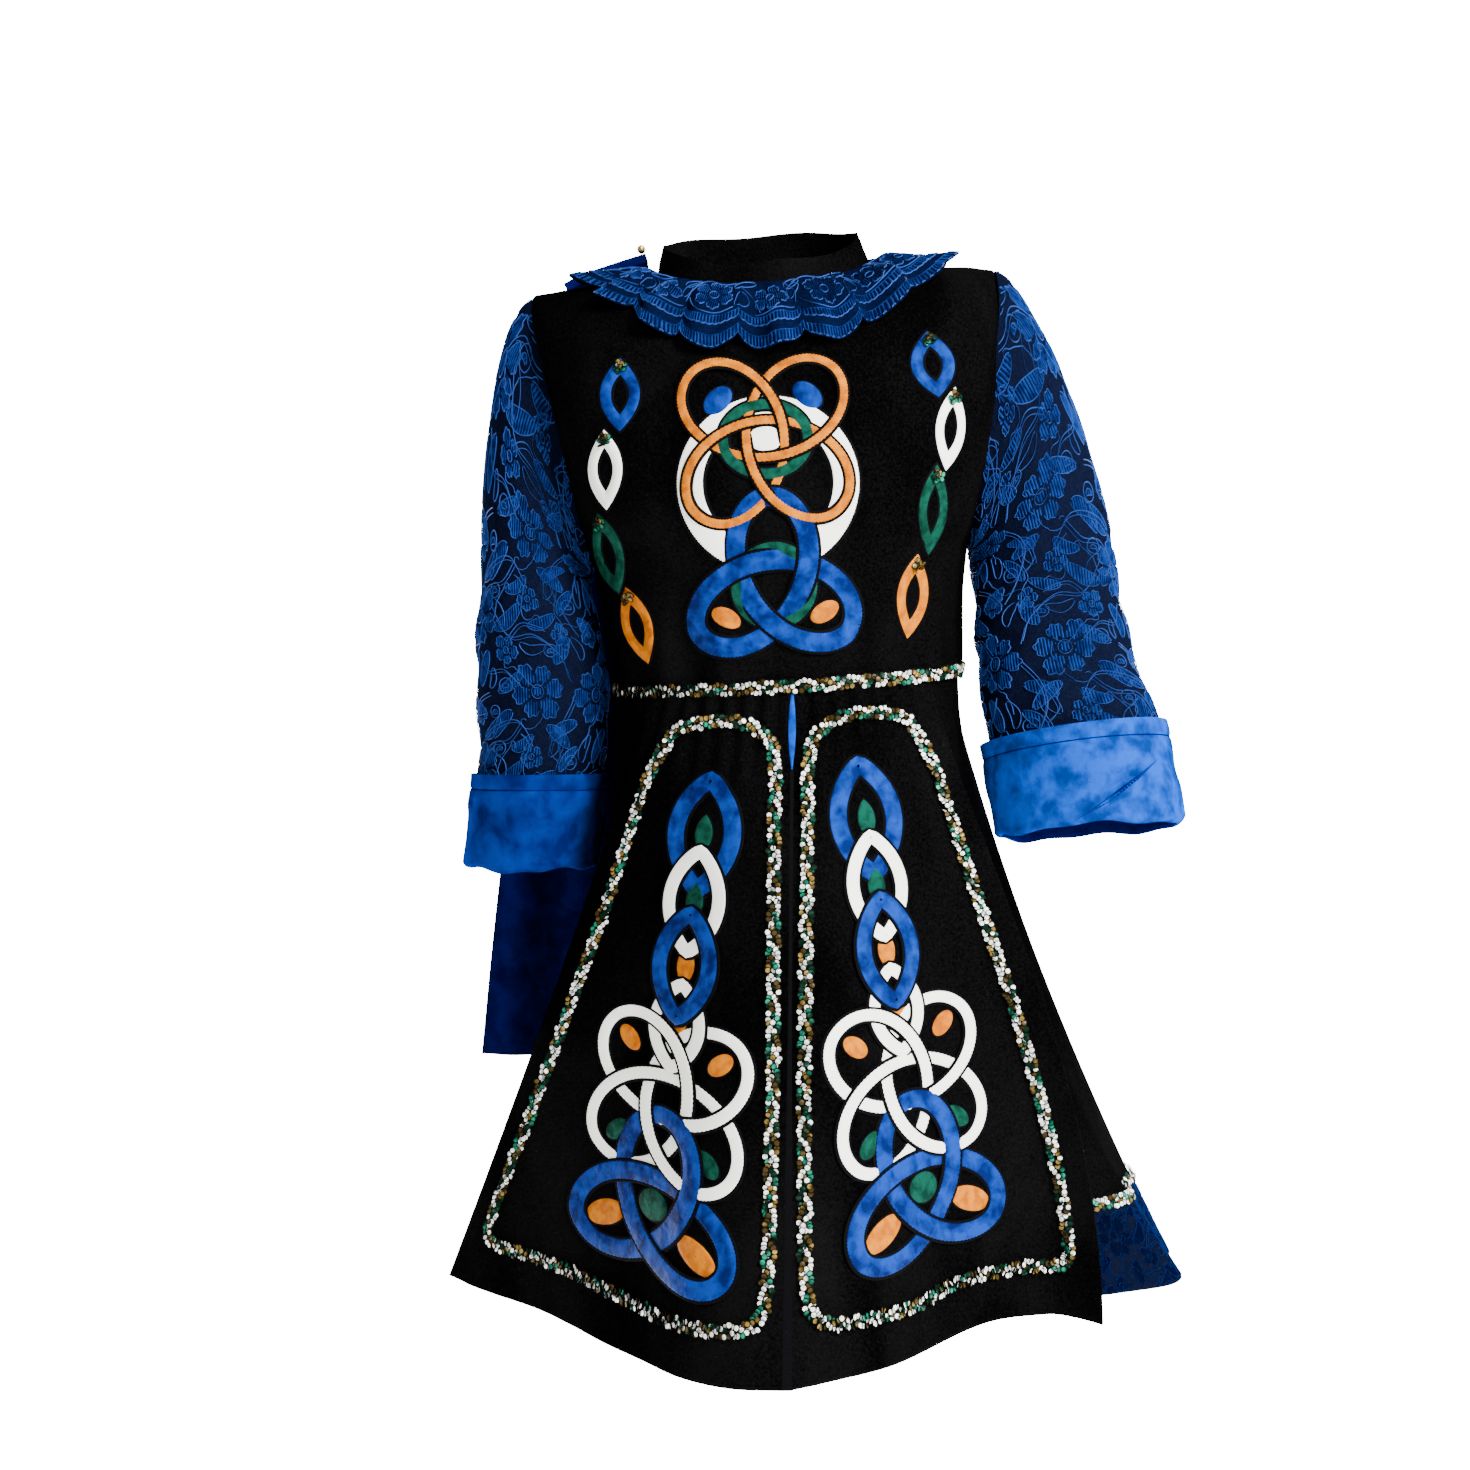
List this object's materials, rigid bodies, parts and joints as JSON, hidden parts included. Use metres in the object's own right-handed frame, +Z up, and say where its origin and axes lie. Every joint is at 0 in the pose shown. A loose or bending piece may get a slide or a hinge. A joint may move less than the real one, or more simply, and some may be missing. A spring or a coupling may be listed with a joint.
{
  "type": "irish step dance dress",
  "caption": "Long-sleeved dance dress with fitted bodice, lace collar, turned-back cuffs, flared skirt panels and a shoulder shawl.",
  "frame": {"origin": "middle of the base of the neck", "axes": "+Z up, the front looks along -Y, +X towards the wearer's left"},
  "size_m": [0.6856, 0.5803, 0.9968],
  "materials": {
    "black_wool": "matt",
    "blue_satin": "satin sheen",
    "blue_lace": "matt relief",
    "sequin_braid": "glossy",
    "ivory_satin": "satin sheen",
    "green_satin": "satin sheen",
    "orange_satin": "satin sheen",
    "gilt_metal": "polished"
  },
  "bodies": {
    "root": {"bodice_front": "black_wool", "bodice_back_left": "black_wool", "bodice_back_right": "black_wool", "collar_band": "black_wool", "collar_ruffle": "blue_lace", "sleeve_left": "blue_lace", "sleeve_right": "blue_lace", "cuff_left": "blue_satin", "cuff_right": "blue_satin", "skirt_front_left": "black_wool", "skirt_front_right": "black_wool", "skirt_back": "black_wool", "skirt_lining_left": "blue_satin", "skirt_lining_right": "blue_satin", "pleat_inset": "blue_satin", "hem_lace_band": "blue_lace", "waist_trim": "sequin_braid", "hem_trim": "sequin_braid", "panel_trim_left": "sequin_braid", "panel_trim_right": "sequin_braid", "link_blue_left": "blue_satin", "link_blue_right": "blue_satin", "link_ivory_left": "ivory_satin", "link_ivory_right": "ivory_satin", "link_green_left": "green_satin", "link_green_right": "green_satin", "link_orange_left": "orange_satin", "link_orange_right": "orange_satin", "bodice_emblem": "ivory_satin", "panel_motif_left": "blue_satin", "panel_motif_right": "blue_satin", "cape": "blue_satin", "cape_roll": "blue_satin", "cape_fastening": "gilt_metal"}
  },
  "joints": []
}
